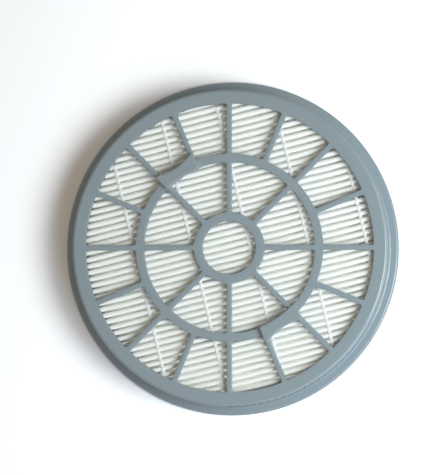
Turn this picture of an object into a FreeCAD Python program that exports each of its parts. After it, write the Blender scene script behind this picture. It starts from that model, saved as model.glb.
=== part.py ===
import FreeCAD, Part
import math
import os

from FreeCAD import Vector

# Round pleated filter cartridge, lying on its flange with the grille up.
# Origin at the centre of the base, +Z up, +X to the right of the grille, millimetres.

# Frame: side wall, rim and flange
BODY_RADIUS = 70.3
WALL_THICKNESS = 1.8
FACE_HEIGHT = 18.0
RIM_WIDTH = 6.1
RIM_EDGE_ROUND = 1.3
FLANGE_REACH = 4.7
FLANGE_THICKNESS = 2.6
FOOT_FILLET = 1.2
LIP_ROUND = 1.3
LIP_UNDER_BREAK = 0.5

# Grille: hub ring, mid ring and spokes
GRILLE_THICKNESS = 2.6
HUB_RING_RADIUS = 13.8
HUB_RING_WIDTH = 3.9
MID_RING_RADIUS = 39.95
MID_RING_WIDTH = 3.8
SPOKE_WIDTH = 2.3
INNER_SPOKES = 8
OUTER_SPOKES = 16
WINDOW_CORNER_BREAK = 0.5
WINDOW_EDGE_BREAK = 0.25

# Finger grips, raised on the mid ring, each in one bay between two outer spokes
GRIP_COUNT = 2
GRIP_BAY = 5
GRIP_HEIGHT = 2.3
GRIP_INNER_OVERHANG = 0.4
GRIP_SPOKE_OVERLAP = 0.15
GRIP_WAIST = 5.1
SCALLOP_RADIUS = 24.0
GRIP_EDGE_ROUND = 0.8
GRIP_CORNER_LAND = 0.2

# Pleated media: one folded sheet, cut round
MEDIA_THICKNESS = 0.5
PLEAT_PITCH = 2.9
PLEAT_ANGLE = 13.5
PLEAT_OFFSET = 0.425
PLEAT_END_MARGIN = 0.9
FOLD_FLATS = 4
MEDIA_TOP_GAP = 0.6
MEDIA_BASE_RECESS = 2.0

# Hot-melt separator beads, laid across the pleats
BEAD_PITCH = 25.4
BEAD_OFFSET = 9.0
BEAD_EDGE_MARGIN = 4.0
BEAD_WIDTH = 1.2
BEAD_COVER = 0.5
BEAD_DEPTH = 2.6
BEAD_GAP = 0.1

# Sealant cast round the ends of the pleats
SEALANT_WIDTH = 1.9
SEALANT_UNDERFILL = 0.4
BOND_GAP = 0.1

# Gasket, let into a groove in the underside of the flange
GASKET_WIDTH = 2.8
GASKET_PROUD = 0.5
GASKET_ROUND = 0.4
GROOVE_DEPTH = 1.3
GROOVE_CLEARANCE = 0.1

# Heights and radii that follow from the driving dimensions
BASE_Z = GASKET_PROUD
FLANGE_TOP_Z = BASE_Z + FLANGE_THICKNESS
GRILLE_UNDER_Z = FACE_HEIGHT - GRILLE_THICKNESS
FLANGE_RADIUS = BODY_RADIUS + FLANGE_REACH
WALL_INNER_RADIUS = BODY_RADIUS - WALL_THICKNESS
WINDOW_OUTER_RADIUS = BODY_RADIUS - RIM_WIDTH
HUB_OUTER_RADIUS = HUB_RING_RADIUS + HUB_RING_WIDTH / 2
HUB_INNER_RADIUS = HUB_RING_RADIUS - HUB_RING_WIDTH / 2
MID_OUTER_RADIUS = MID_RING_RADIUS + MID_RING_WIDTH / 2
MID_INNER_RADIUS = MID_RING_RADIUS - MID_RING_WIDTH / 2
GASKET_RADIUS = (WALL_INNER_RADIUS + FLANGE_RADIUS) / 2
MEDIA_RADIUS = WALL_INNER_RADIUS - SEALANT_WIDTH
MEDIA_TOP_Z = GRILLE_UNDER_Z - MEDIA_TOP_GAP
MEDIA_BASE_Z = BASE_Z + MEDIA_BASE_RECESS
WALL_SPACING = PLEAT_PITCH / 2
FOLD_RADIUS = (WALL_SPACING + MEDIA_THICKNESS) / 2
VALLEY_WIDTH = WALL_SPACING - MEDIA_THICKNESS
PLEAT_WALLS_EACH_SIDE = int((MEDIA_RADIUS - PLEAT_END_MARGIN) / WALL_SPACING)

AXIS = Vector(0, 0, 1)
ORIGIN = Vector(0, 0, 0)
TOUCH = 1e-3


def export(shape, node):
    shape.exportStep("parts/" + node + ".step")


def line(start, end):
    return Part.LineSegment(start, end).toShape()


def arc(start, middle, end):
    return Part.Arc(start, middle, end).toShape()


def quarter_arc(centre, radius, start_degrees, end_degrees):
    """Arc in the XZ plane, from one angle about its centre to another."""
    points = []
    for degrees in (start_degrees, (start_degrees + end_degrees) / 2, end_degrees):
        angle = math.radians(degrees)
        offset = Vector(radius * math.cos(angle), 0, radius * math.sin(angle))
        points.append(centre + offset)
    return arc(*points)


def closed_face(curves):
    """Face bounded by curves in order, with a straight line over each gap between them."""
    edges = []
    for curve, following in zip(curves, curves[1:] + curves[:1]):
        edges.append(curve)
        start = curve.valueAt(curve.LastParameter)
        end = following.valueAt(following.FirstParameter)
        if start.distanceToPoint(end) > TOUCH:
            edges.append(line(start, end))
    return Part.Face(Part.Wire(edges))


def ring(outer_radius, inner_radius, low, high):
    centre = Vector(0, 0, low)
    outer = Part.makeCylinder(outer_radius, high - low, centre)
    return outer.cut(Part.makeCylinder(inner_radius, high - low, centre))


def upright_edges(solid):
    return [edge for edge in solid.Edges if abs(edge.tangentAt(edge.FirstParameter).z) > 1 - TOUCH]


def turned_to_pleats(shape):
    """Turn a shape modelled with its folds along X to the angle of the pleats."""
    shape.rotate(ORIGIN, AXIS, PLEAT_ANGLE)
    return shape


# Frame
def cup():
    """Flange, side wall and a closed top, turned about the axis."""
    lip_low = Vector(FLANGE_RADIUS - LIP_UNDER_BREAK, 0, BASE_Z)
    lip_side = Vector(FLANGE_RADIUS, 0, BASE_Z + LIP_UNDER_BREAK)
    lip = Vector(FLANGE_RADIUS - LIP_ROUND, 0, FLANGE_TOP_Z - LIP_ROUND)
    foot = Vector(BODY_RADIUS + FOOT_FILLET, 0, FLANGE_TOP_Z + FOOT_FILLET)
    rim = Vector(BODY_RADIUS - RIM_EDGE_ROUND, 0, FACE_HEIGHT - RIM_EDGE_ROUND)
    curves = [
        line(Vector(WALL_INNER_RADIUS, 0, GRILLE_UNDER_Z), Vector(WALL_INNER_RADIUS, 0, BASE_Z)),
        line(lip_low, lip_side),
        quarter_arc(lip, LIP_ROUND, 0, 90),
        quarter_arc(foot, FOOT_FILLET, 270, 180),
        quarter_arc(rim, RIM_EDGE_ROUND, 0, 90),
        line(Vector(0, 0, FACE_HEIGHT), Vector(0, 0, GRILLE_UNDER_Z)),
    ]
    return closed_face(curves).revolve(ORIGIN, AXIS, 360)


def spoke_bars(count, length):
    bars = []
    for index in range(count):
        corner = Vector(0, -SPOKE_WIDTH / 2, GRILLE_UNDER_Z)
        bar = Part.makeBox(length, SPOKE_WIDTH, GRILLE_THICKNESS, corner)
        bar.rotate(ORIGIN, AXIS, 360 * index / count)
        bars.append(bar)
    return bars


def windows(count, inner_radius, outer_radius):
    """Openings between two rings and the spokes that join them, with their corners broken."""
    band = ring(outer_radius, inner_radius, GRILLE_UNDER_Z, FACE_HEIGHT)
    openings = band.cut(spoke_bars(count, 2 * outer_radius)).Solids
    return [opening.makeChamfer(WINDOW_CORNER_BREAK, upright_edges(opening)) for opening in openings]


def grip_end(centre_x, radius, side):
    """Where the end of a grip, beside one spoke, meets a circle centred on the X axis."""
    half_bay = math.pi / OUTER_SPOKES
    along = Vector(math.cos(half_bay), side * math.sin(half_bay), 0)
    across = Vector(-side * along.y, side * along.x, 0)
    start = across * (SPOKE_WIDTH / 2 + GRIP_SPOKE_OVERLAP)
    from_centre = start - Vector(centre_x, 0, 0)
    middle = -from_centre.dot(along)
    half_chord = math.sqrt(radius**2 - from_centre.dot(from_centre) + middle**2)
    reach = middle - half_chord if centre_x > 0 else middle + half_chord
    return start + along * reach


def grip():
    """One finger grip, centred on +X: the full depth of the grille, scalloped for a fingertip."""
    inner_radius = MID_INNER_RADIUS - GRIP_INNER_OVERHANG
    waist = inner_radius + GRIP_WAIST
    scallop_x = waist + SCALLOP_RADIUS
    inner_ends = [grip_end(0, inner_radius, side) for side in (1, -1)]
    outer_ends = [grip_end(scallop_x, SCALLOP_RADIUS, side) for side in (1, -1)]
    outline = [
        arc(inner_ends[0], Vector(inner_radius, 0, 0), inner_ends[1]),
        line(inner_ends[1], outer_ends[1]),
        arc(outer_ends[1], Vector(waist, 0, 0), outer_ends[0]),
        line(outer_ends[0], inner_ends[0]),
    ]
    base = Part.Face(Part.Wire(outline))
    base.translate(Vector(0, 0, GRILLE_UNDER_Z))
    pad = base.extrude(Vector(0, 0, GRILLE_THICKNESS + GRIP_HEIGHT))
    pad = pad.makeFillet(GRIP_EDGE_ROUND + GRIP_CORNER_LAND, upright_edges(pad))
    crown_z = FACE_HEIGHT + GRIP_HEIGHT
    crown = [edge for edge in pad.Edges if edge.BoundBox.ZMin > crown_z - TOUCH]
    return pad.makeFillet(GRIP_EDGE_ROUND, crown)


def window_rims(body):
    """Edges of the windows on the face of the grille."""
    edges = []
    for edge in body.Edges:
        reach = max(math.hypot(vertex.X, vertex.Y) for vertex in edge.Vertexes)
        if edge.BoundBox.ZMin > FACE_HEIGHT - TOUCH and reach < WINDOW_OUTER_RADIUS + TOUCH:
            edges.append(edge)
    return edges


def filter_frame():
    """One moulding: flange, wall, rim, grille and finger grips."""
    body = cup()
    body = body.cut(windows(INNER_SPOKES, HUB_OUTER_RADIUS, MID_INNER_RADIUS))
    body = body.cut(windows(OUTER_SPOKES, MID_OUTER_RADIUS, WINDOW_OUTER_RADIUS))
    eye = Part.makeCylinder(HUB_INNER_RADIUS, GRILLE_THICKNESS, Vector(0, 0, GRILLE_UNDER_Z))
    body = body.cut(eye)
    body = body.makeChamfer(WINDOW_EDGE_BREAK, window_rims(body))
    groove_half = GASKET_WIDTH / 2 + GROOVE_CLEARANCE
    groove_top = BASE_Z + GROOVE_DEPTH
    body = body.cut(ring(GASKET_RADIUS + groove_half, GASKET_RADIUS - groove_half, BASE_Z, groove_top))
    for index in range(GRIP_COUNT):
        pad = grip()
        pad.rotate(ORIGIN, AXIS, 360 * (GRIP_BAY + 0.5) / OUTER_SPOKES + 360 * index / GRIP_COUNT)
        body = body.fuse(pad)
    return body.removeSplitter()


# Pleated media: walls are numbered across the pleats, and wall 0 starts a front fold
def wall_place(index):
    return PLEAT_OFFSET + index * WALL_SPACING


def is_front_fold(index):
    return index % 2 == 0


def fold(start, centre, up):
    """Half turn about the middle of a fold, in small flats as the stiff sheet creases."""
    radius = centre.y - start.y
    flats = []
    for flat in range(1, FOLD_FLATS + 1):
        angle = math.pi * (1 - flat / FOLD_FLATS)
        end = centre + Vector(0, radius * math.cos(angle), up * radius * math.sin(angle))
        flats.append(line(start, end))
        start = end
    return flats


def pleat_line(offset):
    """One face of the folded sheet in the YZ plane, at an offset from its middle."""
    curves = []
    fold_reach = WALL_SPACING / 2
    last = PLEAT_WALLS_EACH_SIDE
    top = MEDIA_TOP_Z - FOLD_RADIUS
    base = MEDIA_BASE_Z + FOLD_RADIUS
    first_offset = -offset if is_front_fold(-last) else offset
    first_end = MEDIA_BASE_Z if is_front_fold(-last) else MEDIA_TOP_Z
    start = Vector(0, wall_place(-last) + first_offset, first_end)
    for index in range(-last, last):
        up = 1 if is_front_fold(index) else -1
        level = top if up > 0 else base
        radius = fold_reach + up * offset
        middle = wall_place(index) + fold_reach
        before = Vector(0, middle - radius, level)
        curves.append(line(start, before))
        curves.extend(fold(before, Vector(0, middle, level), up))
        start = Vector(0, middle + radius, level)
    last_end = MEDIA_TOP_Z if is_front_fold(last) else MEDIA_BASE_Z
    curves.append(line(start, Vector(0, start.y, last_end)))
    return curves


def pleated_media():
    front = pleat_line(MEDIA_THICKNESS / 2)
    back = pleat_line(-MEDIA_THICKNESS / 2)
    ends = [
        line(front[0].valueAt(front[0].FirstParameter), back[0].valueAt(back[0].FirstParameter)),
        line(front[-1].valueAt(front[-1].LastParameter), back[-1].valueAt(back[-1].LastParameter)),
    ]
    section = Part.Face(Part.Wire(Part.__sortEdges__(front + back + ends)))
    section.translate(Vector(-MEDIA_RADIUS, 0, 0))
    sheet = section.extrude(Vector(2 * MEDIA_RADIUS, 0, 0))
    height = MEDIA_TOP_Z - MEDIA_BASE_Z
    disc = Part.makeCylinder(MEDIA_RADIUS, height, Vector(0, 0, MEDIA_BASE_Z))
    return turned_to_pleats(sheet.common(disc))


# Separator beads
def bead_places():
    """Places of the beads along the pleats, whole pitches from the offset and inside the pack."""
    reach = MEDIA_RADIUS - BEAD_EDGE_MARGIN
    first = math.ceil((-reach - BEAD_OFFSET) / BEAD_PITCH)
    last = math.floor((reach - BEAD_OFFSET) / BEAD_PITCH)
    return [BEAD_OFFSET + index * BEAD_PITCH for index in range(first, last + 1)]


def bead(place, front):
    """Strand over the folds of one side, with a tooth between each two of them."""
    reach = math.sqrt(MEDIA_RADIUS**2 - (abs(place) + BEAD_WIDTH / 2) ** 2)
    folds = []
    for index in range(-PLEAT_WALLS_EACH_SIDE, PLEAT_WALLS_EACH_SIDE):
        middle = wall_place(index) + WALL_SPACING / 2
        if is_front_fold(index) == front and abs(middle) + FOLD_RADIUS < reach:
            folds.append(middle)
    face, out = (MEDIA_TOP_Z, 1) if front else (MEDIA_BASE_Z, -1)
    seat = face + out * BEAD_GAP
    tip = face - out * BEAD_DEPTH
    tooth_half = VALLEY_WIDTH / 2 - BEAD_GAP
    points = [Vector(place, folds[0], seat)]
    for fold in folds[:-1]:
        valley = fold + WALL_SPACING
        points.append(Vector(place, valley - tooth_half, seat))
        points.append(Vector(place, valley - tooth_half, tip))
        points.append(Vector(place, valley + tooth_half, tip))
        points.append(Vector(place, valley + tooth_half, seat))
    points.append(Vector(place, folds[-1], seat))
    points.append(Vector(place, folds[-1], face + out * BEAD_COVER))
    points.append(Vector(place, folds[0], face + out * BEAD_COVER))
    comb = Part.Face(Part.makePolygon(points + points[:1]))
    comb.translate(Vector(-BEAD_WIDTH / 2, 0, 0))
    return turned_to_pleats(comb.extrude(Vector(BEAD_WIDTH, 0, 0)))


# Sealant
def edge_sealant():
    """Ring between the ends of the pleats and the wall, filled up to the first and last pleat."""
    low = MEDIA_BASE_Z - SEALANT_UNDERFILL
    high = GRILLE_UNDER_Z - BOND_GAP
    inner_radius = MEDIA_RADIUS + BOND_GAP
    first = wall_place(-PLEAT_WALLS_EACH_SIDE) - MEDIA_THICKNESS / 2 - BOND_GAP
    last = wall_place(PLEAT_WALLS_EACH_SIDE) + MEDIA_THICKNESS / 2 + BOND_GAP
    room = Part.makeCylinder(inner_radius, high - low, Vector(0, 0, low))
    strip = Part.makeBox(2 * inner_radius, last - first, high - low, Vector(-inner_radius, first, low))
    outside = Part.makeCylinder(WALL_INNER_RADIUS - BOND_GAP, high - low, Vector(0, 0, low))
    return turned_to_pleats(outside.cut(room.common(strip)))


# Gasket
def flange_gasket():
    """Soft ring that fills the groove and stands proud of the underside of the flange."""
    top = BASE_Z + GROOVE_DEPTH - BOND_GAP
    inner = GASKET_RADIUS - GASKET_WIDTH / 2
    outer = GASKET_RADIUS + GASKET_WIDTH / 2
    curves = [
        line(Vector(outer, 0, top), Vector(inner, 0, top)),
        quarter_arc(Vector(inner + GASKET_ROUND, 0, GASKET_ROUND), GASKET_ROUND, 180, 270),
        quarter_arc(Vector(outer - GASKET_ROUND, 0, GASKET_ROUND), GASKET_ROUND, 270, 360),
    ]
    return closed_face(curves).revolve(ORIGIN, AXIS, 360)


def main():
    os.makedirs("parts", exist_ok=True)
    export(filter_frame(), "filter_frame")
    export(pleated_media(), "pleated_media")
    export(edge_sealant(), "edge_sealant")
    export(flange_gasket(), "flange_gasket")
    for number, place in enumerate(bead_places(), start=1):
        export(bead(place, True), "front_glue_bead_" + str(number))
        export(bead(place, False), "rear_glue_bead_" + str(number))


main()
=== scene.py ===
import math

import bmesh
import bpy
from bpy.props import FloatProperty, FloatVectorProperty, IntProperty, PointerProperty
from mathutils import Matrix, Vector, noise


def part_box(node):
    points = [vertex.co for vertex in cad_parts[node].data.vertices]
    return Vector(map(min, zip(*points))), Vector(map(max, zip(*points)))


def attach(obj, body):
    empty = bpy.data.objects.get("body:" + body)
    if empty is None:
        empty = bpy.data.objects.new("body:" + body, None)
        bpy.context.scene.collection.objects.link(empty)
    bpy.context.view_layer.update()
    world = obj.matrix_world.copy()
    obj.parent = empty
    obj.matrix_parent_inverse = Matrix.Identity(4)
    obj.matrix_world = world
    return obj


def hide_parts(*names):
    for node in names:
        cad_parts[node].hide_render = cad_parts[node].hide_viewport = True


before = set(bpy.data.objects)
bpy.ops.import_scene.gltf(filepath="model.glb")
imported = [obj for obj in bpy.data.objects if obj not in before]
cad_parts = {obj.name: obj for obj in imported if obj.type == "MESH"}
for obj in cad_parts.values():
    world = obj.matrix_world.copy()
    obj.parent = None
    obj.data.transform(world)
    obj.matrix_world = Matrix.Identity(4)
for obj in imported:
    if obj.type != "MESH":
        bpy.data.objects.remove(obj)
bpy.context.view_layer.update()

bl_info = {
    "name": "Round Pleated Filter",
    "version": (1, 0, 0),
    "blender": (4, 5, 0),
    "location": "View3D > Sidebar > Filter",
    "description": "Round filter cartridge: moulded frame, pleated media, glue beads, sealant and gasket",
    "category": "Object",
}

MM = 0.001
BODY = "root"
BEAD_COUNT = 5
PICTURE_HEIGHT = 475
# Vertices nearer than this are one
MERGE = 0.001 * MM
FOLD_MERGE = 0.01 * MM
# Edges that turn further than this stay sharp
MOULDED_SHARP = math.radians(50)
SHEET_SHARP = math.radians(60)
GLUE_SHARP = math.radians(70)
# Fibre clouds are longer along the folds by the inverse of this
FIBRE_STRETCH = 0.35
# Clouds in the sealant are larger than its bubbles by the inverse of this
SEALANT_CLOUDS = 0.2
MEDIA_LOW, MEDIA_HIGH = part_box("pleated_media")
GASKET_LOW, GASKET_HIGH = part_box("flange_gasket")


def srgb(code):
    """Linear colour of an sRGB hex code."""
    channels = [int(code[place:place + 2], 16) / 255 for place in (1, 3, 5)]
    return tuple(c / 12.92 if c <= 0.04045 else ((c + 0.055) / 1.055) ** 2.4 for c in channels)


def length(name, description, default):
    return FloatProperty(name=name, description=description, default=default, unit="LENGTH", precision=4)


def colour(name, description, code):
    return FloatVectorProperty(name=name, description=description, default=srgb(code), subtype="COLOR",
                               min=0, max=1)


class FrameSettings(bpy.types.PropertyGroup):
    plastic: colour("Plastic", "Slate plastic of the frame", "#86949E")
    plastic_pale: colour("Flow Marks", "Paler clouds where the melt flowed", "#8C9AA4")
    grain: length("Grain", "Spacing of the moulded grain", 0.7 * MM)
    flow: length("Flow", "Size of the clouds in the plastic", 30 * MM)


class MediaSettings(bpy.types.PropertyGroup):
    pitch: length("Pitch", "Distance from fold to fold", 2.9 * MM)
    thickness: length("Thickness", "Thickness of the sheet", 0.5 * MM)
    offset: length("Offset", "Shift of the middle wall from the axis", 0.425 * MM)
    end_margin: length("End Margin", "Least room beyond the first and last wall", 0.9 * MM)
    angle: FloatProperty(name="Angle", description="Lean of the folds", default=math.radians(13.5),
                         subtype="ANGLE")
    sway: length("Sway", "How far a fold wanders between two beads", 0.22 * MM)
    sway_length: length("Sway Length", "Length over which a fold wanders", 14 * MM)
    fold_steps: IntProperty(name="Fold Steps", description="Faces round each fold", default=6, min=2)
    columns: IntProperty(name="Columns", description="Faces along each fold", default=48, min=2)
    sheet: colour("Sheet", "White non-woven sheet", "#FEFEFE")
    fibre: colour("Fibre", "Darker fibre clouds in the sheet", "#FCFCFB")
    fibre_size: length("Fibre Size", "Size of the fibre clouds", 0.9 * MM)


class BeadSettings(bpy.types.PropertyGroup):
    pitch: length("Pitch", "Distance from bead to bead", 25.4 * MM)
    offset: length("Offset", "Place of one bead along the folds", 9.0 * MM)
    margin: length("Margin", "Least room from a bead to the edge of the pack", 4.0 * MM)
    width: length("Width", "Width of a bead", 1.2 * MM)
    cover: length("Cover", "Height of a bead over the folds", 0.16 * MM)
    sag: length("Sag", "Dip of a bead between two folds", 0.3 * MM)
    pooling: FloatProperty(name="Pooling", description="Share by which a bead is wider in a valley",
                           default=0.7, min=0, max=1, subtype="FACTOR")
    uneven: FloatProperty(name="Uneven", description="Share by which the width of a bead wanders",
                          default=0.2, min=0, max=1, subtype="FACTOR")
    depth: length("Depth", "Depth of the teeth between the folds", 2.5 * MM)
    gap: length("Gap", "Clearance from the folds", 0.1 * MM)
    steps: IntProperty(name="Steps", description="Rings of faces in each fold pitch", default=12, min=4)
    sides: IntProperty(name="Sides", description="Faces round a bead", default=12, min=6)
    glue: colour("Glue", "Whitish hot melt", "#EEEFF1")


class SealSettings(bpy.types.PropertyGroup):
    gasket_width: length("Gasket Width", "Width of the gasket", 2.8 * MM)
    gasket_round: length("Gasket Round", "Rounding of its lower edges", 0.4 * MM)
    round_steps: IntProperty(name="Round Steps", description="Faces across its lower edges", default=6, min=1)
    gasket_steps: IntProperty(name="Gasket Steps", description="Faces round the gasket", default=192, min=32)
    sealant_edge: length("Sealant Edge", "Rounding of the cast edges", 0.3 * MM)
    edge_steps: IntProperty(name="Edge Steps", description="Faces across a cast edge", default=3, min=1)
    sealant: colour("Sealant", "Cream cast polyurethane", "#E4DFCB")
    bubble: length("Bubble", "Size of the bubbles in the cast sealant", 2.2 * MM)
    rubber: colour("Rubber", "Black rubber of the gasket", "#2B2B2D")
    rubber_grain: length("Rubber Grain", "Grain of the rubber", 0.6 * MM)


class StageSettings(bpy.types.PropertyGroup):
    floor_size: length("Floor Size", "Side of the floor", 3.0)
    paper: colour("Paper", "Cool white paper of the floor", "#F7F7FF")
    floor_seen: FloatProperty(name="Floor Seen", description="Reflectance of the floor as it is seen",
                              default=1.5, min=0)
    floor_bounce: FloatProperty(name="Floor Bounce", description="Reflectance of the floor to other rays",
                                default=0.85, min=0, max=1)
    lamp_distance: length("Lamp Distance", "Distance of the lamps", 0.6)
    lamp_height: FloatProperty(name="Lamp Height", description="Height of the lamps over the floor",
                               default=math.radians(49), subtype="ANGLE")
    key_size: length("Key Size", "Diameter of the key light", 0.27)
    key_power: FloatProperty(name="Key Power", description="Power of the key light", default=1.63,
                             unit="POWER")
    key_azimuth: FloatProperty(name="Key Azimuth", description="Direction of the key light from +X",
                               default=math.radians(-12), subtype="ANGLE")
    key_colour: colour("Key Colour", "White key light", "#FBFFE4")
    window_width: length("Window Width", "Width of the window light", 0.8)
    window_rise: length("Window Rise", "Height of the window light's face", 0.41)
    window_power: FloatProperty(name="Window Power", description="Power of the window light", default=2.89,
                                unit="POWER")
    window_azimuth: FloatProperty(name="Window Azimuth", description="Direction of the window from +X",
                                  default=math.radians(-20), subtype="ANGLE")
    window_colour: colour("Window Colour", "Cool window light", "#CBDEF7")
    below_size: length("Below Size", "Diameter of the light under the floor, less than the part's", 0.14)
    below_power: FloatProperty(name="Below Power", description="Power of the light under the floor",
                               default=0.7, unit="POWER")
    ambient: colour("Ambient", "Warm light from all round", "#887E6B")
    camera_distance: length("Camera Distance", "Distance of the camera", 1.2)
    camera_scale: length("Camera Scale", "Size of a picture element on the grille", 0.4445 * MM)
    camera_right: FloatProperty(name="Camera Right", description="Lean of the view towards +X",
                                default=math.radians(5.3), subtype="ANGLE")
    camera_front: FloatProperty(name="Camera Front", description="Lean of the view towards -Y",
                                default=math.radians(2.1), subtype="ANGLE")
    bounces: IntProperty(name="Bounces", description="Times that light is followed from fold to fold",
                         default=96, min=4)
    aim: FloatVectorProperty(name="Aim", description="Point in the middle of the picture",
                             default=(-6.49 * MM, 4.49 * MM, 18 * MM), subtype="TRANSLATION")


# Materials
def add_node(tree, kind, inputs=None, **settings):
    """Add a node with its settings; inputs gives each socket a value or the output that feeds it."""
    made = tree.nodes.new(kind)
    for name, value in settings.items():
        setattr(made, name, value)
    for socket, value in (inputs or {}).items():
        if isinstance(value, bpy.types.NodeSocket):
            tree.links.new(value, made.inputs[socket])
        else:
            made.inputs[socket].default_value = value
    return made


def empty_tree(name):
    """New material with no nodes, and its node tree."""
    material = bpy.data.materials.new(name)
    material.use_nodes = True
    material.node_tree.nodes.clear()
    return material, material.node_tree


def opaque(rgb):
    return (*rgb, 1)


def moulded_abs(settings):
    """Moulded ABS: a satin sheen, faint flow clouds and a fine grain that softens the highlights."""
    material, tree = empty_tree("moulded_abs")
    place = add_node(tree, "ShaderNodeTexCoord").outputs["Object"]
    clouds = add_node(tree, "ShaderNodeTexNoise",
                      {"Vector": place, "Scale": 1 / settings.flow, "Detail": 3, "Roughness": 0.5})
    # The real grain is near 0.1 mm and is drawn coarser so that it shows
    grain = add_node(tree, "ShaderNodeTexNoise",
                     {"Vector": place, "Scale": 1 / settings.grain, "Detail": 2, "Roughness": 0.6})
    tint = add_node(tree, "ShaderNodeMix", {0: clouds.outputs["Fac"], "A": opaque(settings.plastic),
                                            "B": opaque(settings.plastic_pale)}, data_type="RGBA")
    sheen = add_node(tree, "ShaderNodeMapRange", {"Value": grain.outputs["Fac"], "From Min": 0.3,
                                                  "From Max": 0.7, "To Min": 0.13, "To Max": 0.19})
    relief = add_node(tree, "ShaderNodeBump", {"Height": grain.outputs["Fac"], "Strength": 0.12,
                                               "Distance": 0.03 * MM})
    shader = add_node(tree, "ShaderNodeBsdfPrincipled",
                      {"Base Color": tint.outputs["Result"], "Roughness": sheen.outputs["Result"],
                       "IOR": 1.54, "Normal": relief.outputs["Normal"]})
    add_node(tree, "ShaderNodeOutputMaterial", {"Surface": shader.outputs["BSDF"]})
    return material


def nonwoven_sheet(settings):
    """Non-woven glass and polyester: dull and so white that its folds stay light, cloudy with fibres."""
    material, tree = empty_tree("nonwoven_filter_sheet")
    place = add_node(tree, "ShaderNodeTexCoord").outputs["Object"]
    turned = add_node(tree, "ShaderNodeMapping", {"Vector": place, "Rotation": (0, 0, -settings.angle),
                                                  "Scale": (FIBRE_STRETCH, 1, 1)})
    # Single fibres are near 0.02 mm, so clouds of them are drawn instead, longer along the folds
    fibres = add_node(tree, "ShaderNodeTexNoise",
                      {"Vector": turned.outputs["Vector"], "Scale": 1 / settings.fibre_size, "Detail": 4,
                       "Roughness": 0.65})
    tint = add_node(tree, "ShaderNodeMix", {0: fibres.outputs["Fac"], "A": opaque(settings.sheet),
                                            "B": opaque(settings.fibre)}, data_type="RGBA")
    relief = add_node(tree, "ShaderNodeBump", {"Height": fibres.outputs["Fac"], "Strength": 0.25,
                                               "Distance": 0.08 * MM})
    shader = add_node(tree, "ShaderNodeBsdfPrincipled",
                      {"Base Color": tint.outputs["Result"], "Roughness": 0.92, "IOR": 1.45,
                       "Specular IOR Level": 0.2, "Normal": relief.outputs["Normal"]})
    add_node(tree, "ShaderNodeOutputMaterial", {"Surface": shader.outputs["BSDF"]})
    return material


def hot_melt(settings):
    """Hot-melt adhesive: whitish and waxy, with a soft gloss on its uneven skin."""
    material, tree = empty_tree("hot_melt_adhesive")
    place = add_node(tree, "ShaderNodeTexCoord").outputs["Object"]
    skin = add_node(tree, "ShaderNodeTexNoise",
                    {"Vector": place, "Scale": 1 / settings.width, "Detail": 2, "Roughness": 0.5})
    gloss = add_node(tree, "ShaderNodeMapRange", {"Value": skin.outputs["Fac"], "From Min": 0.3,
                                                  "From Max": 0.7, "To Min": 0.45, "To Max": 0.6})
    relief = add_node(tree, "ShaderNodeBump", {"Height": skin.outputs["Fac"], "Strength": 0.3,
                                               "Distance": 0.1 * MM})
    shader = add_node(tree, "ShaderNodeBsdfPrincipled",
                      {"Base Color": opaque(settings.glue), "Roughness": gloss.outputs["Result"],
                       "IOR": 1.48, "Normal": relief.outputs["Normal"]})
    add_node(tree, "ShaderNodeOutputMaterial", {"Surface": shader.outputs["BSDF"]})
    return material


def cast_polyurethane(settings):
    """Cast polyurethane: cream, smooth and slightly glossy, dimpled by small bubbles."""
    material, tree = empty_tree("cast_polyurethane")
    place = add_node(tree, "ShaderNodeTexCoord").outputs["Object"]
    bubbles = add_node(tree, "ShaderNodeTexVoronoi", {"Vector": place, "Scale": 1 / settings.bubble})
    dimples = add_node(tree, "ShaderNodeMapRange", {"Value": bubbles.outputs["Distance"], "From Min": 0,
                                                    "From Max": 0.3})
    clouds = add_node(tree, "ShaderNodeTexNoise",
                      {"Vector": place, "Scale": SEALANT_CLOUDS / settings.bubble, "Detail": 2})
    bright = add_node(tree, "ShaderNodeMapRange", {"Value": clouds.outputs["Fac"], "From Min": 0.3,
                                                   "From Max": 0.7, "To Min": 0.95, "To Max": 1.03})
    tint = add_node(tree, "ShaderNodeHueSaturation",
                    {"Color": opaque(settings.sealant), "Value": bright.outputs["Result"]})
    relief = add_node(tree, "ShaderNodeBump", {"Height": dimples.outputs["Result"], "Strength": 0.35,
                                               "Distance": 0.1 * MM})
    shader = add_node(tree, "ShaderNodeBsdfPrincipled",
                      {"Base Color": tint.outputs["Color"], "Roughness": 0.36, "IOR": 1.5,
                       "Normal": relief.outputs["Normal"]})
    add_node(tree, "ShaderNodeOutputMaterial", {"Surface": shader.outputs["BSDF"]})
    return material


def moulded_rubber(settings):
    """Moulded rubber: near black and dull, with a fine grain and a dusty bloom."""
    material, tree = empty_tree("moulded_rubber")
    place = add_node(tree, "ShaderNodeTexCoord").outputs["Object"]
    grain = add_node(tree, "ShaderNodeTexNoise",
                     {"Vector": place, "Scale": 1 / settings.rubber_grain, "Detail": 3, "Roughness": 0.6})
    bloom = add_node(tree, "ShaderNodeMapRange", {"Value": grain.outputs["Fac"], "From Min": 0.35,
                                                  "From Max": 0.75, "To Min": 0.85, "To Max": 1.5})
    tint = add_node(tree, "ShaderNodeHueSaturation",
                    {"Color": opaque(settings.rubber), "Value": bloom.outputs["Result"]})
    relief = add_node(tree, "ShaderNodeBump", {"Height": grain.outputs["Fac"], "Strength": 0.3,
                                               "Distance": 0.06 * MM})
    shader = add_node(tree, "ShaderNodeBsdfPrincipled",
                      {"Base Color": tint.outputs["Color"], "Roughness": 0.72, "IOR": 1.52,
                       "Normal": relief.outputs["Normal"]})
    add_node(tree, "ShaderNodeOutputMaterial", {"Surface": shader.outputs["BSDF"]})
    return material


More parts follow.
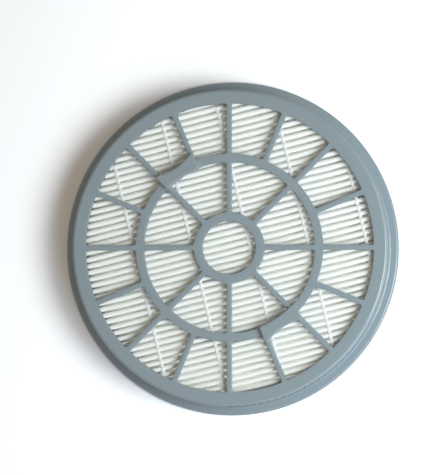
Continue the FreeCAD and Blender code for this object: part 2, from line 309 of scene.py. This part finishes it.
# Pieces
def dressed(bm, name, material, nodes, sharp):
    """Object of a bmesh that rides on the part and stands for its CAD nodes."""
    for face in bm.faces:
        face.smooth = True
    mesh = bpy.data.meshes.new(name)
    bm.to_mesh(mesh)
    bm.free()
    mesh.set_sharp_from_angle(angle=sharp)
    mesh.materials.append(material)
    piece = bpy.data.objects.new(name, mesh)
    bpy.context.scene.collection.objects.link(piece)
    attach(piece, BODY)
    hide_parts(*nodes)
    return piece


def merged_node(node):
    """Bmesh of a CAD node with its loose triangles joined."""
    bm = bmesh.new()
    bm.from_mesh(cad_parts[node].data)
    bmesh.ops.remove_doubles(bm, verts=bm.verts[:], dist=MERGE)
    return bm


def bead_places(beads):
    """Places of the beads along the folds, whole pitches from the offset and inside the pack."""
    reach = media_radius() - beads.margin
    first = math.ceil((-reach - beads.offset) / beads.pitch)
    last = math.floor((reach - beads.offset) / beads.pitch)
    return [beads.offset + index * beads.pitch for index in range(first, last + 1)]


def media_radius():
    return (MEDIA_HIGH.x - MEDIA_LOW.x) / 2


def fold_radius(media):
    """Outer radius of a fold."""
    return (media.pitch / 2 + media.thickness) / 2


def walls_each_side(media):
    return int((media_radius() - media.end_margin) / (media.pitch / 2))


def turned_to_pleats(bm, media):
    bmesh.ops.rotate(bm, cent=(0, 0, 0), matrix=Matrix.Rotation(media.angle, 3, "Z"), verts=bm.verts[:])


class FILTER_OT_frame(bpy.types.Operator):
    """Moulded frame: flange, wall, rim, grille and finger grips in one piece"""
    bl_idname = "filter.frame"
    bl_label = "Moulded Frame"

    def execute(self, context):
        settings = context.scene.filter_frame
        piece = dressed(merged_node("filter_frame"), "moulded_frame", moulded_abs(settings),
                        ["filter_frame"], MOULDED_SHARP)
        piece.modifiers.new("weighted_normals", "WEIGHTED_NORMAL").keep_sharp = True
        return {"FINISHED"}


class FILTER_OT_media(bpy.types.Operator):
    """Pleated media: one sheet folded to and fro, cut round"""
    bl_idname = "filter.media"
    bl_label = "Pleated Media"

    def execute(self, context):
        media = context.scene.filter_media
        spacing = media.pitch / 2
        walls = walls_each_side(media)
        top = MEDIA_HIGH.z - fold_radius(media)
        base = MEDIA_LOW.z + fold_radius(media)
        start_y = media.offset - walls * spacing

        # One period: a wall down, a half turn, a wall up and a half turn
        bm = bmesh.new()
        end = bm.verts.new((0, start_y, top))
        for level, turn in ((base, math.pi), (top, -math.pi)):
            end = bmesh.ops.extrude_vert_indiv(bm, verts=[end])["verts"][0]
            end.co.z = level
            centre = (0, end.co.y + spacing / 2, level)
            turned = bmesh.ops.spin(bm, geom=[end], cent=centre, axis=(1, 0, 0), angle=turn,
                                    steps=media.fold_steps)
            end = [item for item in turned["geom_last"] if isinstance(item, bmesh.types.BMVert)][0]
        bmesh.ops.spin(bm, geom=bm.verts[:] + bm.edges[:], cent=(0, 0, 0), axis=(1, 0, 0),
                       dvec=(0, media.pitch, 0), angle=0, steps=walls - 1, use_duplicate=True)
        bmesh.ops.remove_doubles(bm, verts=bm.verts[:], dist=FOLD_MERGE)

        # The end walls run the full height of the pack
        ends = sorted((vert for vert in bm.verts if len(vert.link_edges) == 1), key=lambda vert: vert.co.y)
        for vert, height in zip(ends, (MEDIA_HIGH.z, MEDIA_LOW.z)):
            bmesh.ops.extrude_vert_indiv(bm, verts=[vert])["verts"][0].co.z = height

        # Drawn out from -1 to 1, then each fold is cut to the round
        bmesh.ops.translate(bm, vec=(-1, 0, 0), verts=bm.verts[:])
        bmesh.ops.spin(bm, geom=bm.verts[:] + bm.edges[:], cent=(0, 0, 0), axis=(1, 0, 0),
                       dvec=(2 / media.columns, 0, 0), angle=0, steps=media.columns)
        places = bead_places(context.scene.filter_beads)
        for vert in bm.verts:
            vert.co.x *= math.sqrt(media_radius() ** 2 - vert.co.y ** 2)
            held = min(abs(vert.co.x - place) for place in places)
            free = min(1, held / media.sway_length * 2) ** 2
            wave = Vector((vert.co.x / media.sway_length, vert.co.y / media.pitch, 0))
            vert.co.y += media.sway * free * noise.noise(wave)
        turned_to_pleats(bm, media)
        bmesh.ops.recalc_face_normals(bm, faces=bm.faces[:])
        piece = dressed(bm, "pleat_pack", nonwoven_sheet(media), ["pleated_media"],
                        SHEET_SHARP)
        wall = piece.modifiers.new("sheet_thickness", "SOLIDIFY")
        wall.thickness = media.thickness
        wall.offset = 0
        return {"FINISHED"}


class FILTER_OT_beads(bpy.types.Operator):
    """Glue beads: strands across the folds, front and back, with a tooth between each two folds"""
    bl_idname = "filter.beads"
    bl_label = "Glue Beads"

    def execute(self, context):
        media, beads = context.scene.filter_media, context.scene.filter_beads
        material = hot_melt(beads)
        places = bead_places(beads)
        if len(places) != BEAD_COUNT:
            raise RuntimeError("the beads of the frame and of the scene differ in number")
        for side, face, out in (("front", MEDIA_HIGH.z, 1), ("rear", MEDIA_LOW.z, -1)):
            for number, place in enumerate(places, start=1):
                bm = self.strand(media, beads, place, face, out)
                dressed(bm, f"{side}_bead_{number}", material, [f"{side}_glue_bead_{number}"],
                        GLUE_SHARP)
        return {"FINISHED"}

    def strand(self, media, beads, place, face, out):
        """A round strand drawn across the folds, then pressed to their shape."""
        radius = fold_radius(media)
        spacing = media.pitch / 2
        walls = walls_each_side(media)
        reach = math.sqrt(media_radius() ** 2 - (abs(place) + beads.width / 2) ** 2)
        first_fold = -walls if (walls % 2 == 0) == (out > 0) else -walls + 1
        folds = [media.offset + (index + 0.5) * spacing for index in range(first_fold, walls, 2)]
        folds = [fold for fold in folds if abs(fold) + radius < reach]
        step = media.pitch / beads.steps
        count = (len(folds) - 1) * beads.steps

        bm = bmesh.new()
        upright = Matrix.Translation((0, folds[0], 0)) @ Matrix.Rotation(math.pi / 2, 4, "X")
        bmesh.ops.create_circle(bm, segments=beads.sides, radius=1, matrix=upright)
        bmesh.ops.spin(bm, geom=bm.verts[:] + bm.edges[:], cent=(0, 0, 0), axis=(0, 1, 0), dvec=(0, step, 0),
                       angle=0, steps=count)
        bmesh.ops.holes_fill(bm, edges=[edge for edge in bm.edges if edge.is_boundary], sides=beads.sides)
        for vert in bm.verts:
            side, rise, along = vert.co.x, vert.co.z, vert.co.y
            from_fold = abs((along - folds[0] + spacing) % media.pitch - spacing)
            if from_fold < radius:
                seat = math.sqrt(radius ** 2 - from_fold ** 2) - radius + beads.gap
            else:
                seat = -beads.depth
            pooled = (1 - math.cos(math.pi * from_fold / spacing)) / 2
            crown = beads.cover - beads.sag * pooled
            middle = (crown + max(seat, crown - 2 * beads.cover)) / 2
            height = middle + rise * (crown - middle if rise > 0 else middle - seat)
            uneven = beads.uneven * noise.noise(Vector((place / MM, along / media.pitch, out)))
            spread = 1 + uneven + beads.pooling * (pooled - 0.5)
            vert.co = (place + side * spread * beads.width / 2, along, face + out * height)
        turned_to_pleats(bm, media)
        bmesh.ops.recalc_face_normals(bm, faces=bm.faces[:])
        return bm


class FILTER_OT_sealant(bpy.types.Operator):
    """Sealant: the ring cast round the ends of the folds"""
    bl_idname = "filter.sealant"
    bl_label = "Edge Sealant"

    def execute(self, context):
        seals = context.scene.filter_seals
        piece = dressed(merged_node("edge_sealant"), "sealant_ring", cast_polyurethane(seals),
                        ["edge_sealant"], MOULDED_SHARP)
        edge = piece.modifiers.new("cast_edges", "BEVEL")
        edge.width = seals.sealant_edge
        edge.segments = seals.edge_steps
        edge.limit_method = "ANGLE"
        edge.angle_limit = MOULDED_SHARP
        edge.harden_normals = True
        return {"FINISHED"}


class FILTER_OT_gasket(bpy.types.Operator):
    """Gasket: the soft ring under the flange"""
    bl_idname = "filter.gasket"
    bl_label = "Flange Gasket"

    def execute(self, context):
        seals = context.scene.filter_seals
        height = GASKET_HIGH.z - GASKET_LOW.z
        centre = Vector((GASKET_HIGH.x - seals.gasket_width / 2, 0, GASKET_LOW.z + height / 2))
        upright = Matrix.Translation(centre) @ Matrix.Rotation(math.pi / 2, 4, "X")
        bm = bmesh.new()
        bmesh.ops.create_grid(bm, x_segments=1, y_segments=1, size=0.5,
                              matrix=upright @ Matrix.Diagonal((seals.gasket_width, height, 1, 1)))
        lower = [vert for vert in bm.verts if vert.co.z < centre.z]
        bmesh.ops.bevel(bm, geom=lower, offset=seals.gasket_round, offset_type="OFFSET",
                        segments=seals.round_steps, profile=0.5, affect="VERTICES", material=-1)
        bmesh.ops.delete(bm, geom=bm.faces[:], context="FACES_ONLY")
        bmesh.ops.spin(bm, geom=bm.verts[:] + bm.edges[:], cent=(0, 0, 0), axis=(0, 0, 1), angle=2 * math.pi,
                       steps=seals.gasket_steps, use_merge=True)
        bmesh.ops.remove_doubles(bm, verts=bm.verts[:], dist=MERGE)
        bmesh.ops.recalc_face_normals(bm, faces=bm.faces[:])
        dressed(bm, "gasket_ring", moulded_rubber(seals), ["flange_gasket"], MOULDED_SHARP)
        return {"FINISHED"}


# Stage
def seen_directly(tree):
    """Output that is 1 for rays that show the background itself, straight, mirrored or let through."""
    path = add_node(tree, "ShaderNodeLightPath")
    straight = add_node(tree, "ShaderNodeMath", {0: path.outputs["Is Camera Ray"],
                                                 1: path.outputs["Is Glossy Ray"]}, operation="MAXIMUM")
    shown = add_node(tree, "ShaderNodeMath", {0: straight.outputs[0],
                                              1: path.outputs["Is Transmission Ray"]}, operation="MAXIMUM")
    return shown.outputs[0]


def white_floor(stage):
    """Matt white paper: white where the light falls and open to the eye from below."""
    material, tree = empty_tree("white_floor")
    bounce = add_node(tree, "ShaderNodeBsdfDiffuse", {"Color": opaque((stage.floor_bounce,) * 3)})
    seen = add_node(tree, "ShaderNodeBsdfDiffuse", {"Color": opaque(stage.floor_seen * Vector(stage.paper))})
    face = add_node(tree, "ShaderNodeMixShader", {0: seen_directly(tree), 1: bounce.outputs[0],
                                                  2: seen.outputs[0]})
    below = add_node(tree, "ShaderNodeNewGeometry").outputs["Backfacing"]
    clear = add_node(tree, "ShaderNodeBsdfTransparent")
    shader = add_node(tree, "ShaderNodeMixShader", {0: below, 1: face.outputs[0], 2: clear.outputs[0]})
    add_node(tree, "ShaderNodeOutputMaterial", {"Surface": shader.outputs[0]})
    return material


class FILTER_OT_stage(bpy.types.Operator):
    """Stage: white floor, key light, wide window light, light from below, ambient light and the camera"""
    bl_idname = "filter.stage"
    bl_label = "Stage"

    def execute(self, context):
        stage = context.scene.filter_stage
        floor = self.lay_floor(context.scene, stage)
        self.light(context.scene, stage)
        self.light_from_below(context.scene, stage, floor)
        self.aim_camera(context.scene, stage)
        self.follow_light(context.scene, stage)
        return {"FINISHED"}

    def lay_floor(self, scene, stage):
        mesh = bpy.data.meshes.new("floor")
        bm = bmesh.new()
        bmesh.ops.create_grid(bm, x_segments=1, y_segments=1, size=stage.floor_size / 2)
        bm.to_mesh(mesh)
        bm.free()
        mesh.materials.append(white_floor(stage))
        floor = bpy.data.objects.new("floor", mesh)
        scene.collection.objects.link(floor)
        return floor

    def light(self, scene, stage):
        key = self.lamp(scene, stage, "key", (stage.key_azimuth, stage.lamp_height), stage.key_size,
                        stage.key_size)
        key.data.energy = stage.key_power
        key.data.color = stage.key_colour
        window = self.lamp(scene, stage, "window", (stage.window_azimuth, stage.lamp_height),
                           stage.window_width, stage.window_rise)
        window.data.energy = stage.window_power
        window.data.color = stage.window_colour

        world = bpy.data.worlds.new("surroundings")
        world.use_nodes = True
        tree = world.node_tree
        tree.nodes.clear()
        around = add_node(tree, "ShaderNodeBackground", {"Color": opaque(stage.ambient)})
        white = add_node(tree, "ShaderNodeBackground", {"Color": (1, 1, 1, 1)})
        mixed = add_node(tree, "ShaderNodeMixShader", {0: seen_directly(tree), 1: around.outputs[0],
                                                       2: white.outputs[0]})
        add_node(tree, "ShaderNodeOutputWorld", {"Surface": mixed.outputs[0]})
        scene.world = world

    def light_from_below(self, scene, stage, floor):
        """Light that the floor doesn't block, so that the back shows from below; it meets nothing else."""
        below = self.lamp(scene, stage, "below", (0, -math.pi / 2), stage.below_size, stage.below_size)
        below.data.energy = stage.below_power
        blockers = bpy.data.collections.new("blocks_light_from_below")
        blockers.objects.link(floor)
        blockers.collection_objects[0].light_linking.link_state = "EXCLUDE"
        below.light_linking.blocker_collection = blockers

    def lamp(self, scene, stage, name, direction, width, rise):
        """Oval area light that faces the part, from an azimuth and a height over the floor."""
        light = bpy.data.lights.new(name, "AREA")
        light.shape = "ELLIPSE"
        light.size = width
        light.size_y = rise
        azimuth, height = direction
        flat = math.cos(height)
        towards = Vector((flat * math.cos(azimuth), flat * math.sin(azimuth), math.sin(height)))
        lamp = bpy.data.objects.new(name, light)
        lamp.location = towards * stage.lamp_distance
        lamp.rotation_euler = towards.to_track_quat("Z", "Y").to_euler()
        scene.collection.objects.link(lamp)
        return lamp

    def aim_camera(self, scene, stage):
        lens = bpy.data.cameras.new("camera")
        lens.lens = stage.camera_distance * lens.sensor_width / (PICTURE_HEIGHT * stage.camera_scale)
        camera = bpy.data.objects.new("camera", lens)
        back = Vector((math.tan(stage.camera_right), -math.tan(stage.camera_front), 1)).normalized()
        across = Vector((0, 1, 0)).cross(back).normalized()
        pose = Matrix((across, back.cross(across), back)).transposed().to_4x4()
        camera.matrix_world = Matrix.Translation(Vector(stage.aim) + back * stage.camera_distance) @ pose
        scene.collection.objects.link(camera)
        scene.camera = camera
        scene.view_settings.view_transform = "Standard"

    def follow_light(self, scene, stage):
        """Light stays bright down in the folds only if it is followed over many bounces."""
        scene.cycles.diffuse_bounces = stage.bounces
        scene.cycles.max_bounces = stage.bounces


OPERATORS = (FILTER_OT_stage, FILTER_OT_frame, FILTER_OT_media, FILTER_OT_beads, FILTER_OT_sealant,
             FILTER_OT_gasket)
SETTINGS = {"filter_frame": FrameSettings, "filter_media": MediaSettings, "filter_beads": BeadSettings,
            "filter_seals": SealSettings, "filter_stage": StageSettings}


class VIEW3D_PT_filter(bpy.types.Panel):
    """Settings and steps of the round pleated filter"""
    bl_label = "Round Pleated Filter"
    bl_idname = "VIEW3D_PT_filter"
    bl_space_type = "VIEW_3D"
    bl_region_type = "UI"
    bl_category = "Filter"

    def draw(self, context):
        for name in SETTINGS:
            group = getattr(context.scene, name)
            box = self.layout.box()
            for prop in group.bl_rna.properties:
                if prop.identifier not in ("rna_type", "name"):
                    box.prop(group, prop.identifier)
        for operator in OPERATORS:
            self.layout.operator(operator.bl_idname)


CLASSES = (*SETTINGS.values(), *OPERATORS, VIEW3D_PT_filter)


def register():
    for cls in CLASSES:
        bpy.utils.register_class(cls)
    for name, group in SETTINGS.items():
        setattr(bpy.types.Scene, name, PointerProperty(type=group))


def unregister():
    for name in SETTINGS:
        delattr(bpy.types.Scene, name)
    for cls in reversed(CLASSES):
        bpy.utils.unregister_class(cls)


def main():
    register()
    bpy.ops.filter.stage()
    bpy.ops.filter.frame()
    bpy.ops.filter.media()
    bpy.ops.filter.beads()
    bpy.ops.filter.sealant()
    bpy.ops.filter.gasket()


if __name__ == "__main__":
    main()
